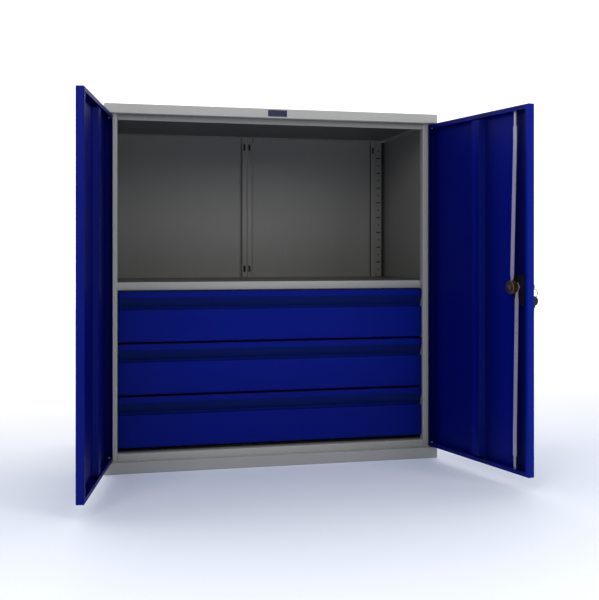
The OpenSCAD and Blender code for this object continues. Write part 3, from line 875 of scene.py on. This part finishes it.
    def hand_over(self, shop: Workshop, finish: Finish, body: str, *replaced: str) -> None:
        """Smooths and paints the piece, and gives it to its body.

        Args:
            shop: The workshop that keeps the paints.
            finish: The piece's finish.
            body: The body that it rides on.
            *replaced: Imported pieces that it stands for.
        """
        self.work(lambda face: True, bpy.ops.mesh.normals_make_consistent, inside=False)
        bpy.ops.object.shade_smooth_by_angle(angle=SMOOTH)
        self.object.data.materials.clear()
        self.object.data.materials.append(shop.paints.material(finish))
        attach(self.object, body)
        if replaced:
            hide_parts(*replaced)
        log.info("%s: %d faces, on %s", self.object.name, len(self.object.data.polygons), body)


@dataclass
class Workshop:
    """Paints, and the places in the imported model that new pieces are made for."""

    paints: Paintbox

    @staticmethod
    def joint(name: str) -> dict:
        """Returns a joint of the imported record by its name."""
        return next(j for j in frame["record"]["behaviour"]["joints"] if j["name"] == name)

    @staticmethod
    def door_frame(side: str) -> Matrix:
        """Returns a door's frame at rest, on its outer face at the pivot.

        Args:
            side: left or right.

        Returns:
            A matrix whose X runs along the door away from the pivot, Y up and Z inward.
        """
        hinge = Workshop.joint(f"{side}_door_hinge")
        angle = math.radians(-hinge["range_deg"][0])
        sign = 1 if side == "right" else -1
        along = Vector((-sign * math.cos(angle), -math.sin(angle), 0))
        inward = Vector((-sign * math.sin(angle), math.cos(angle), 0))
        pivot = Vector((hinge["pos_m"][0], hinge["pos_m"][1], 0))
        columns = (along, Vector((0, 0, 1)), inward)
        matrix = Matrix([[c[row] for c in columns] for row in range(3)]).to_4x4()
        matrix.translation = pivot - inward * DOOR_T / 2
        return matrix

    def lock_frame(self) -> Matrix:
        """Moves the right door's frame to the lock.

        Returns:
            The frame, at the lock's middle on the outer face.
        """
        matrix = self.door_frame("right")
        matrix.translation = Vector(self.joint("lock_turn")["pos_m"])
        return matrix


@dataclass
class DoorKey:
    """The key in the lock: a stamped bow with a raised rim, and a milled blade."""

    shop: Workshop
    bow_r: float = 12 * MM
    bow_out: float = 43 * MM
    hole_out: float = 49.5 * MM
    hole_drop: float = 3.2 * MM
    hole_r: float = 3.4 * MM
    thick: float = 2 * MM
    blade_w: float = 7.6 * MM
    tip: float = 6 * MM
    rim: float = 1.5 * MM
    relief: float = 0.3 * MM
    groove_w: float = 1.6 * MM
    groove_deep: float = 0.5 * MM
    collar_w: float = 11 * MM
    collar_l: float = 4.5 * MM
    collar_t: float = 1.8 * MM
    edge: float = 0.2 * MM

    def build(self) -> None:
        """Makes the key across the door's face, with X as its own thickness."""
        bow = Shape.round("door_key_bow", self.bow_r, self.thick)
        bow.work(is_flat, bpy.ops.mesh.inset, thickness=self.rim, depth=-self.relief)
        bow.put(ACROSS)
        bow.put(Matrix.Translation((0, 0, -self.bow_out)))
        collar = (self.collar_t, self.collar_w, self.collar_l)
        bow.weld(self.blade(), Shape.block("collar", collar, (0, 0, self.bow_r - self.bow_out)))
        hole = Shape.round("hole", self.hole_r, self.thick * THROUGH)
        hole.put(ACROSS)
        hole.put(Matrix.Translation((0, -self.hole_drop, -self.hole_out)))
        bow.cut(hole).break_edges(self.edge)
        bow.put(self.shop.lock_frame())
        bow.hand_over(self.shop, Finish.ZINC, "lock", "door_key")

    def blade(self) -> Shape:
        """Saws the blade and mills a groove along each of its faces.

        Returns:
            The blade.
        """
        length = self.bow_out - self.bow_r + self.rim + self.tip
        middle = self.tip - length / 2
        blade = Shape.block("door_key_blade", (self.thick, self.blade_w, length), (0, 0, middle))
        for height in (-self.groove_w, self.groove_w):
            groove = (2 * self.groove_deep, self.groove_w, length * OVERSHOOT)
            face = math.copysign(self.thick / 2, height)
            blade.cut(Shape.block("groove", groove, (face, height, middle)))
        return blade


@dataclass
class SplitRing:
    """The key ring: two close turns of spring wire."""

    shop: Workshop
    radius: float = 11.5 * MM
    wire: float = 0.8 * MM
    turn: float = math.radians(35)
    below_hole: float = 13.7 * MM
    wire_sides: int = 12
    steps: int = 128
    weld_gap: float = 0.001 * MM

    def build(self) -> None:
        """Winds the ring, closes its ends and hangs it in the key's bow."""
        bpy.ops.object.select_all(action="DESELECT")
        bpy.ops.mesh.primitive_circle_add(vertices=self.wire_sides, radius=self.wire, fill_type="NOTHING")
        ring = Shape("key_ring_wire")
        ring.put(Matrix.Rotation(math.radians(90), 4, "X"))
        ring.put(Matrix.Translation((self.radius, 0, -self.wire)))
        ring.modify("SCREW", angle=4 * math.pi, screw_offset=2 * self.wire, iterations=1,
                    steps=self.steps, render_steps=self.steps, axis="Z",
                    use_merge_vertices=True, merge_threshold=self.weld_gap)
        ring.work(lambda face: False, self.close_ends)
        hole = self.shop.joint("key_ring_swing")["pos_m"]
        frame_matrix = self.shop.door_frame("right")
        frame_matrix.translation = Vector(hole) - Vector((0, 0, self.below_hole))
        ring.put(frame_matrix @ Matrix.Rotation(self.turn, 4, "Y"))
        ring.hand_over(self.shop, Finish.RING, "keys", "key_ring")

    def close_ends(self) -> None:
        """Caps the two open ends of the wire in edit mode."""
        bpy.ops.mesh.select_mode(type="EDGE")
        bpy.ops.mesh.select_non_manifold()
        bpy.ops.mesh.edge_face_add()


@dataclass
class SpareKey:
    """The spare key on the ring: a milled blade in a moulded plastic grip."""

    shop: Workshop
    hole_below: float = 28.2 * MM
    grip_r: float = 13.2 * MM
    grip_wide: float = 2.25 * MM
    grip_drop: float = 5.5 * MM
    grip_t: float = 3 * MM
    grip_rim: float = 1.8 * MM
    grip_relief: float = 0.5 * MM
    grip_edge: float = 0.35 * MM
    hole_r: float = 3.5 * MM
    neck_w: float = 11 * MM
    neck_l: float = 4 * MM
    blade_w: float = 7.6 * MM
    blade_t: float = 2 * MM
    blade_l: float = 38 * MM
    blade_in: float = 0.5 * MM
    blade_edge: float = 0.15 * MM
    tip: Place = (0.7, 1, 0.4)
    notch: float = 2.2 * MM
    notches: tuple[float, ...] = (6, 11, 15, 21, 26)
    groove: tuple[float, float] = (0.8 * MM, 1.6 * MM)
    groove_low: float = 1.2 * MM

    def build(self) -> None:
        """Makes the grip and the blade, and hangs them on the ring."""
        matrix = self.shop.door_frame("right")
        hole = Vector(self.shop.joint("key_ring_swing")["pos_m"])
        matrix.translation = hole - Vector((0, 0, self.hole_below))
        self.grip(matrix)
        self.blade(matrix)

    def grip(self, matrix: Matrix) -> None:
        """Moulds the grip, wider than it is high, with a raised rim.

        Args:
            matrix: The frame of the hole that it hangs by.
        """
        grip = Shape.round("spare_key_grip", self.grip_r, self.grip_t)
        wider = 1 + self.grip_wide / self.grip_r
        grip.work(lambda face: True, bpy.ops.transform.resize, value=(wider, 1, 1))
        grip.work(is_flat, bpy.ops.mesh.inset, thickness=self.grip_rim, depth=-self.grip_relief)
        grip.put(ACROSS)
        grip.put(Matrix.Translation((0, -self.grip_drop, 0)))
        size = (self.grip_t, 2 * self.neck_l, self.neck_w)
        grip.weld(Shape.block("neck", size, (0, -self.grip_drop - self.grip_r, 0)))
        hole = Shape.round("hole", self.hole_r, self.grip_t * THROUGH)
        hole.put(ACROSS)
        grip.cut(hole).break_edges(self.grip_edge, 3)
        grip.put(matrix)
        grip.hand_over(self.shop, Finish.PLASTIC, "keys", "spare_key_bow")

    def blade(self, matrix: Matrix) -> None:
        """Mills the blade, with cuts for the levers along one edge.

        Args:
            matrix: The frame of the hole in the grip.
        """
        top = self.blade_in - self.grip_drop - self.grip_r - self.neck_l
        tip_at = -self.grip_drop - self.blade_l
        length = top - tip_at
        middle = (top + tip_at) / 2
        blade = Shape.block("spare_key_blade", (self.blade_t, length, self.blade_w), (0, middle, 0))
        for at in self.notches:
            tooth = Shape.block("tooth", (self.blade_t * 2, self.notch, self.notch * 1.4))
            tooth.put(Matrix.Rotation(math.radians(45), 4, "X"))
            blade.cut(tooth.put(Matrix.Translation((0, tip_at + at * MM, self.blade_w / 2))))
        groove = (self.groove[0], length * OVERSHOOT, self.groove[1])
        blade.cut(Shape.block("groove", groove, (self.blade_t / 2, middle, -self.groove_low)))
        blade.work(lambda face: face.normal.y < -FACING, bpy.ops.transform.resize, value=self.tip)
        blade.break_edges(self.blade_edge)
        blade.put(matrix)
        blade.hand_over(self.shop, Finish.ZINC, "keys", "spare_key")


@dataclass
class SpotWelds:
    """The shallow welds that hold a stiffener to its door skin."""

    shop: Workshop
    side: str
    rib_at: float
    spread: float = 29.5 * MM
    first: float = 66 * MM
    pitch: float = 87 * MM
    rows: int = 11
    radius: float = 2.6 * MM
    rim: float = 1.04 * MM
    thick: float = 0.4 * MM
    seat: float = 2.4 * MM
    proud: float = 0.14 * MM
    dent: float = 0.1 * MM
    edge: float = 0.06 * MM

    def build(self) -> None:
        """Presses one weld, copies it along both flanges and joins the copies."""
        weld = Shape.round(f"{self.side}_door_welds", self.radius, self.thick, sides=20)
        weld.work(is_front, bpy.ops.mesh.inset, thickness=self.rim, depth=0)
        weld.work(is_crown, bpy.ops.transform.translate, value=(0, 0, -self.dent))
        weld.break_edges(self.edge)
        level = self.seat + self.proud - self.thick / 2
        weld.put(Matrix.Translation((self.rib_at - self.spread, self.first, level)))
        copies = [
            weld.copy((column * 2 * self.spread, row * self.pitch, 0))
            for row in range(self.rows)
            for column in range(2)
            if row or column
        ]
        weld.gather(*copies)
        weld.put(self.shop.door_frame(self.side))
        weld.hand_over(self.shop, Finish[f"{self.side.upper()}_BLUE"], f"{self.side}_door")


@dataclass
class LabelRim:
    """The raised rim round the bare plate on the cap."""

    shop: Workshop
    size: Place = (54 * MM, 0.5 * MM, 18 * MM)
    border: float = 1.3 * MM
    corner: float = 1.2 * MM
    edge: float = 0.1 * MM

    def build(self) -> None:
        """Presses the rim and seats it on the plate."""
        low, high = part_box("label_plate")
        middle = (low + high) / 2
        seat = (middle.x, low.y, middle.z)
        rim = Shape.block("label_plate_rim", self.size, seat)
        rim.modify("BEVEL", width=self.corner, segments=3, affect="EDGES",
                   limit_method="ANGLE", angle_limit=1)
        hollow = (self.size[0] - 2 * self.border, 4 * self.size[1], self.size[2] - 2 * self.border)
        rim.cut(Shape.block("hollow", hollow, seat)).break_edges(self.edge)
        rim.hand_over(self.shop, Finish.LABEL, "carcass")


@dataclass
class CamFace:
    """The stepped face of the lock's cam, and the chamfered screw that holds it."""

    shop: Workshop
    rear: float = 26.3 * MM
    face_r: float = 13.6 * MM
    hub_r: float = 8.2 * MM
    hub_lip: float = 0.6 * MM
    step: float = 0.5 * MM
    dimples: int = 4
    dimple_r: float = 1.5 * MM
    dimple_h: float = 0.8 * MM
    dimple_at: float = 11 * MM
    head_r: float = 5.313 * MM
    head_h: float = 3 * MM
    head_lip: float = 0.7 * MM
    crown: float = 0.3 * MM
    edge: float = 0.15 * MM

    def build(self) -> None:
        """Turns the face and the screw, and seats them on the cam."""
        face = Shape.round("cam_face", self.face_r, 2 * self.step, (0, 0, self.rear))
        face.work(is_front, bpy.ops.mesh.inset, thickness=self.face_r - self.hub_r, depth=0)
        face.work(is_crown, bpy.ops.mesh.inset, thickness=self.hub_lip, depth=self.step)
        for number in range(self.dimples):
            angle = 2 * math.pi * (number + 0.5) / self.dimples
            spot = (self.dimple_at * math.cos(angle), self.dimple_at * math.sin(angle), self.rear + self.step)
            face.cut(Shape.round("dimple", self.dimple_r, self.dimple_h, spot, 16))
        face.break_edges(self.edge)
        face.put(self.shop.lock_frame())
        face.hand_over(self.shop, Finish.CAM, "lock")
        middle = (0, 0, self.rear + self.head_h / 2)
        head = Shape.round("cam_screw_head", self.head_r, self.head_h, middle, 6)
        head.work(is_front, bpy.ops.mesh.inset, thickness=self.head_lip, depth=0)
        head.work(is_crown, bpy.ops.transform.translate, value=(0, 0, self.crown))
        head.break_edges(self.edge)
        head.put(self.shop.lock_frame())
        head.hand_over(self.shop, Finish.SCREW, "lock", "cam_screw")


@dataclass(frozen=True)
class CageRow:
    """Two like cages on a post: how far in, along and off the slide's middle, and how wide."""

    inset: float
    middle: float
    rise: float
    width: float


@dataclass
class BallCages:
    """The pressed cages and steel balls that a drawer's slides run on."""

    shop: Workshop
    drawer: int
    post: float = 439 * MM
    top_z: float = 410 * MM
    run: float = 185 * MM
    thick: float = 1.1 * MM
    edge: float = 0.2 * MM
    ball_r: float = 1.66 * MM
    balls: int = 11
    collar_wide: float = 1.12
    collar_high: float = 1.7
    rows: tuple[CageRow, ...] = (
        CageRow(7 * MM, 342.5 * MM, 19.3 * MM, 5 * MM),
        CageRow(9.3 * MM, 142.5 * MM, 14.7 * MM, 3.6 * MM),
    )

    def build(self) -> None:
        """Makes one cage of each width, copies it to all its places and joins them."""
        level = self.top_z - (self.drawer - 1) * PITCH * MM
        made: list[Shape] = []
        for row in self.rows:
            cage = self.cage(row.width)
            places = [(side * (self.post - row.inset), row.middle, level + up * row.rise)
                      for side in (-1, 1) for up in (-1, 1)]
            made += [cage.copy(place) for place in places[1:]]
            made.append(cage.put(Matrix.Translation(places[0])))
        first = made[0].gather(*made[1:])
        first.object.name = f"drawer_{self.drawer}_ball_cages"
        first.hand_over(self.shop, Finish.CAGE, f"slide_{self.drawer}", f"ball_cages_{self.drawer}")

    def cage(self, width: float) -> Shape:
        """Presses one strip, raised round each ball, and sets the balls in it.

        Args:
            width: Width of the strip.

        Returns:
            The cage, about its own middle.
        """
        strip = Shape.block("cage", (width, self.run, self.thick))
        strip.modify("BEVEL", width=self.edge, segments=2)
        pitch = self.run / self.balls
        first = (0, (pitch - self.run) / 2, 0)
        collar = Shape.round(
            "collar", self.ball_r * self.collar_wide, self.thick * self.collar_high, first, 16)
        ball = Shape.ball("ball", self.ball_r, first)
        steps = [(0, pitch * number, 0) for number in range(1, self.balls)]
        return strip.gather(collar, ball, *[shape.copy(step) for step in steps for shape in (collar, ball)])


@dataclass
class FoldedParts:
    """The folded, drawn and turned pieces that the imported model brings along."""

    paints: Paintbox
    weld_gap: float = 0.01 * MM
    edge_round: float = 0.3 * MM
    sharp_angle: float = math.radians(42)
    # Pieces that take a lit or shaded copy of their slot's paint, as painted light and shade.
    lit_and_shaded_finishes: ClassVar[dict[str, Finish]] = {
        "top_panel": Finish.LIT_CAP_GREY,
        "ceiling_panel": Finish.SHADED_CEILING_GREY,
        "drawer_front": Finish.LIT_DRAWER_BLUE,
        "left_door_panel": Finish.LEFT_BLUE,
        "left_door_stiffener": Finish.LEFT_BLUE,
        "right_door_panel": Finish.RIGHT_BLUE,
        "right_door_stiffener": Finish.RIGHT_BLUE,
    }

    def dress(self) -> None:
        """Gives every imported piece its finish, welded bends and softly broken edges."""
        slots = {part["node"]: part["material_slot"] for part in frame["record"]["subparts"]}
        for name, piece in frame["nodes"].items():
            piece.data.materials.clear()
            own = self.lit_and_shaded_finishes.get(name.rstrip("_123"))
            paint = self.paints.material(own) if own else self.paints.for_slot(slots[name])
            piece.data.materials.append(paint)
            piece.data.polygons.foreach_set("use_smooth", [True] * len(piece.data.polygons))
            self.soften(piece)
        log.info("dressed %d packed pieces", len(frame["nodes"]))

    def soften(self, piece: bpy.types.Object) -> None:
        """Welds the facets of a piece and rounds its cut edges.

        Args:
            piece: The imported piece.
        """
        weld = piece.modifiers.new("Weld", "WELD")
        weld.merge_threshold = self.weld_gap
        bevel = piece.modifiers.new("Edges", "BEVEL")
        bevel.width = self.edge_round
        bevel.segments = 2
        bevel.limit_method = "ANGLE"
        bevel.angle_limit = self.sharp_angle
        bevel.use_clamp_overlap = True
        bevel.harden_normals = True
        flat = piece.modifiers.new("Flats", "WEIGHTED_NORMAL")
        flat.keep_sharp = True


@dataclass(frozen=True)
class SoftBox:
    """A square soft box: its place, the length of its side, its watts and what it faces."""

    name: str
    place: Place
    side: float
    power: float
    aim: Place = (0, 0, 0.5)

    def hang(self) -> None:
        """Hangs the lamp so that it faces its aim."""
        data = bpy.data.lights.new(self.name, "AREA")
        data.size = self.side
        data.energy = self.power
        lamp = bpy.data.objects.new(self.name, data)
        lamp.location = self.place
        lamp.rotation_euler = (Vector(self.aim) - Vector(self.place)).to_track_quat("-Z", "Y").to_euler()
        bpy.context.collection.objects.link(lamp)


@dataclass
class Studio:
    """Camera, light and floor, as the cabinet was photographed."""

    paints: Paintbox
    eye: Place = (-0.5687, -2.7139, 0.5979)
    pan: float = math.radians(-13.94)
    focal_px: float = 986.9
    centre_px: tuple[float, float] = (313.1, 252.5)
    frame_px: tuple[int, int] = (599, 600)
    sensor: float = 36.0
    near: float = 0.05
    dim: float = 0.1
    dim_at: float = -0.35
    dim_tint: Colour = (0.8, 0.88, 1)
    bright: float = 1.4
    bright_at: float = 0.5
    floor_size: float = 16
    floor_drop: float = 0.2 * MM
    boxes: tuple[SoftBox, ...] = (
        SoftBox("key", (-0.15, -2.9, 2.3), 1.4, 8),
        SoftBox("overhead", (0, -1.2, 3.0), 1.6, 12.5, (0, -0.6, 0)),
        SoftBox("left_front", (-1.6, -2.6, 1.8), 1.2, 23),
        SoftBox("right_front", (1.6, -2.6, 1.8), 1.2, 22.5),
    )

    def build(self) -> None:
        """Makes the camera, the lights and the floor."""
        self.camera()
        self.lights()
        self.floor()
        bpy.context.scene.view_settings.view_transform = "Standard"

    def camera(self) -> None:
        """Places a level camera whose shift keeps the uprights upright."""
        long_side = max(self.frame_px)
        data = bpy.data.cameras.new("camera")
        data.sensor_width = self.sensor
        data.lens = self.focal_px * self.sensor / long_side
        data.shift_x = (self.frame_px[0] / 2 - self.centre_px[0]) / long_side
        data.shift_y = (self.centre_px[1] - self.frame_px[1] / 2) / long_side
        data.clip_start = self.near
        camera = bpy.data.objects.new("camera", data)
        camera.location = self.eye
        camera.rotation_euler = (math.radians(90), 0, self.pan)
        bpy.context.collection.objects.link(camera)
        bpy.context.scene.camera = camera

    def lights(self) -> None:
        """Hangs the soft boxes in a pale surround that is brighter behind the cabinet."""
        world = bpy.data.worlds.new("surround")
        world.use_nodes = True
        surround = Graph(world.node_tree)
        direction = surround.node("ShaderNodeTexCoord", {}, {}, "Generated")
        depth = surround.node("ShaderNodeSeparateXYZ", {}, {"Vector": direction}, "Y")
        sockets = {"Value": depth, "From Min": self.dim_at, "From Max": self.bright_at,
                   "To Min": self.dim, "To Max": self.bright}
        glow = surround.node("ShaderNodeMapRange", {"interpolation_type": "SMOOTHSTEP"}, sockets)
        background = world.node_tree.nodes["Background"]
        surround.feed(background.inputs["Strength"], glow)
        surround.feed(background.inputs["Color"], surround.blend(glow, self.dim_tint, (1, 1, 1)))
        bpy.context.scene.world = world
        for box in self.boxes:
            box.hang()

    def floor(self) -> None:
        """Lays the floor just under the cabinet."""
        level = CAD_BOX[0].z - self.floor_drop
        bpy.ops.mesh.primitive_plane_add(size=self.floor_size, location=(0, 0, level))
        plane = bpy.context.object
        plane.name = "studio_floor"
        plane.data.materials.append(self.paints.material(Finish.FLOOR))


def main() -> None:
    """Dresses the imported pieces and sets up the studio."""
    logging.basicConfig(level=logging.INFO, format="%(name)s: %(message)s")
    bpy.ops.object.select_all(action="DESELECT")
    paints = Paintbox()
    shop = Workshop(paints)
    Studio(paints).build()
    FoldedParts(paints).dress()
    DoorKey(shop).build()
    SplitRing(shop).build()
    SpareKey(shop).build()
    CamFace(shop).build()
    LabelRim(shop).build()
    SpotWelds(shop, "left", rib_at=206 * MM).build()
    SpotWelds(shop, "right", rib_at=228 * MM).build()
    for drawer in (1, 2, 3):
        BallCages(shop, drawer).build()


if __name__ == "__main__":
    main()
